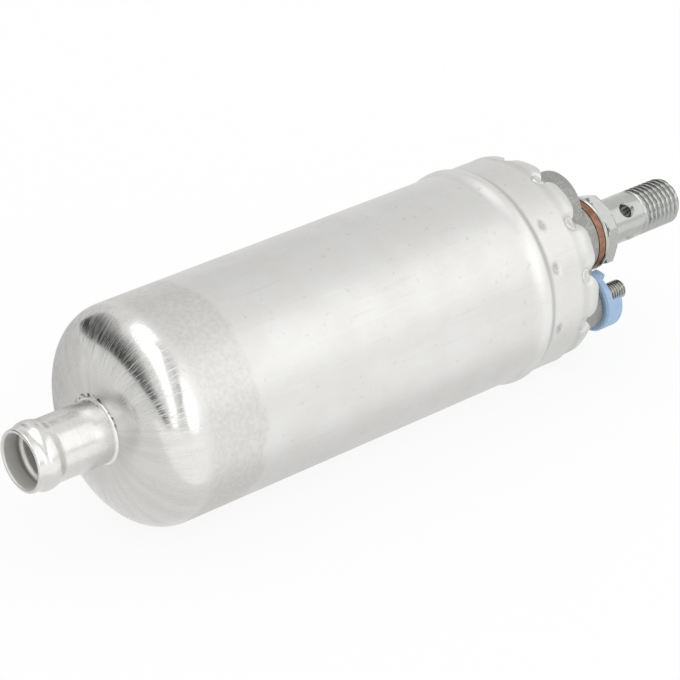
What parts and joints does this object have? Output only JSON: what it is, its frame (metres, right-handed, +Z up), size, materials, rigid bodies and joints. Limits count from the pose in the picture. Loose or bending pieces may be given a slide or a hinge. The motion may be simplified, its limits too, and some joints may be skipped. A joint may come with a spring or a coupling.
{
  "type": "inline electric fuel pump",
  "caption": "Crimped aluminium can with a hose nipple, a banjo outlet valve and stud terminals, holding a roller cell pump and its motor",
  "frame": {"origin": "on the pump's axis, in the middle of the band where a clamp holds the can", "axes": "+X along the pump's axis towards the outlet valve, -X towards the inlet nipple, +Z up as the pump lies in the picture"},
  "size_m": [0.1999, 0.0542, 0.0542],
  "materials": {
    "can_aluminium": "satin drawn aluminium",
    "nipple_aluminium": "polished turned aluminium",
    "gauze_plastic": "brown nylon",
    "cast_alloy": "die-cast, mottled grey",
    "sintered_steel": "ground sintered steel",
    "bright_steel": "ground steel",
    "bronze": "sintered bronze",
    "zinc_steel": "bright zinc plate",
    "copper": "tarnished copper",
    "winding_enamel": "enamelled copper wire",
    "ferrite": "sintered ferrite",
    "black_plastic": "moulded black",
    "blue_plastic": "moulded light blue",
    "fibre": "hard fibre",
    "rubber": "moulded",
    "carbon": "pressed carbon"
  },
  "bodies": {
    "pump_housing": {"housing_can": "can_aluminium", "inlet_nipple": "nipple_aluminium", "inlet_strainer": "gauze_plastic", "inlet_plate": "cast_alloy", "cam_ring": "sintered_steel", "outlet_plate": "cast_alloy", "pump_screws": "zinc_steel", "relief_valve_spring": "bright_steel", "relief_valve_retainer": "bronze", "pump_bush": "bronze", "flux_tube": "zinc_steel", "magnet_upper": "ferrite", "magnet_lower": "ferrite", "magnet_clips": "bright_steel", "brush_holder": "black_plastic", "brush_spring_upper": "bright_steel", "brush_spring_lower": "bright_steel", "end_cover": "cast_alloy", "cover_seal": "rubber", "rear_bush": "bronze", "positive_stud": "zinc_steel", "negative_stud": "zinc_steel", "positive_shroud": "blue_plastic", "negative_insulator": "black_plastic", "stud_washers": "fibre", "stud_seals": "rubber", "copper_washer": "copper", "check_valve_body": "zinc_steel", "check_valve_seat": "bronze", "check_valve_spring": "bright_steel"},
    "armature": {"pump_rotor": "sintered_steel", "motor_shaft": "bright_steel", "armature_core": "sintered_steel", "armature_windings": "winding_enamel", "commutator": "copper"},
    "roller_1": {"pump_roller_1": "bright_steel"},
    "roller_2": {"pump_roller_2": "bright_steel"},
    "roller_3": {"pump_roller_3": "bright_steel"},
    "roller_4": {"pump_roller_4": "bright_steel"},
    "roller_5": {"pump_roller_5": "bright_steel"},
    "relief_ball": {"relief_valve_ball": "bright_steel"},
    "upper_brush": {"brush_upper": "carbon"},
    "lower_brush": {"brush_lower": "carbon"},
    "outlet_ball": {"check_valve_ball": "bright_steel"}
  },
  "joints": [
    {"name": "armature_spin", "type": "hinge", "parent": "pump_housing", "child": "armature", "pos_m": [0.02, 0, 0], "axis": [1, 0, 0], "continuous": true},
    {"name": "roller_1_spin", "type": "hinge", "parent": "armature", "child": "roller_1", "pos_m": [-0.0337, 0.00755, -0.0104], "axis": [1, 0, 0], "continuous": true},
    {"name": "roller_2_spin", "type": "hinge", "parent": "armature", "child": "roller_2", "pos_m": [-0.0337, 0.01222, 0.00397], "axis": [1, 0, 0], "continuous": true},
    {"name": "roller_3_spin", "type": "hinge", "parent": "armature", "child": "roller_3", "pos_m": [-0.0337, 0, 0.01285], "axis": [1, 0, 0], "continuous": true},
    {"name": "roller_4_spin", "type": "hinge", "parent": "armature", "child": "roller_4", "pos_m": [-0.0337, -0.01222, 0.00397], "axis": [1, 0, 0], "continuous": true},
    {"name": "roller_5_spin", "type": "hinge", "parent": "armature", "child": "roller_5", "pos_m": [-0.0337, -0.00755, -0.0104], "axis": [1, 0, 0], "continuous": true},
    {"name": "check_valve_lift", "type": "slide", "parent": "pump_housing", "child": "outlet_ball", "axis": [1, 0, 0], "range_m": [0, 0.0015], "stiffness_N_per_m": 300, "springref_m": -0.001, "deforming": ["check_valve_spring"]},
    {"name": "relief_valve_lift", "type": "slide", "parent": "pump_housing", "child": "relief_ball", "axis": [-1, 0, 0], "range_m": [0, 0.001], "stiffness_N_per_m": 1500, "springref_m": -0.001, "deforming": ["relief_valve_spring"]},
    {"name": "brush_upper_slide", "type": "slide", "parent": "pump_housing", "child": "upper_brush", "axis": [0, 0, 1], "range_m": [0, 0.0025], "stiffness_N_per_m": 300, "springref_m": -0.003, "deforming": ["brush_spring_upper"]},
    {"name": "brush_lower_slide", "type": "slide", "parent": "pump_housing", "child": "lower_brush", "axis": [0, 0, -1], "range_m": [0, 0.0025], "stiffness_N_per_m": 300, "springref_m": -0.003, "deforming": ["brush_spring_lower"]}
  ],
  "couplings": [
    {"joint": "roller_1_spin", "follows": "armature_spin", "ratio": -5.8333},
    {"joint": "roller_2_spin", "follows": "armature_spin", "ratio": -5.8333},
    {"joint": "roller_3_spin", "follows": "armature_spin", "ratio": -5.8333},
    {"joint": "roller_4_spin", "follows": "armature_spin", "ratio": -5.8333},
    {"joint": "roller_5_spin", "follows": "armature_spin", "ratio": -5.8333}
  ]
}
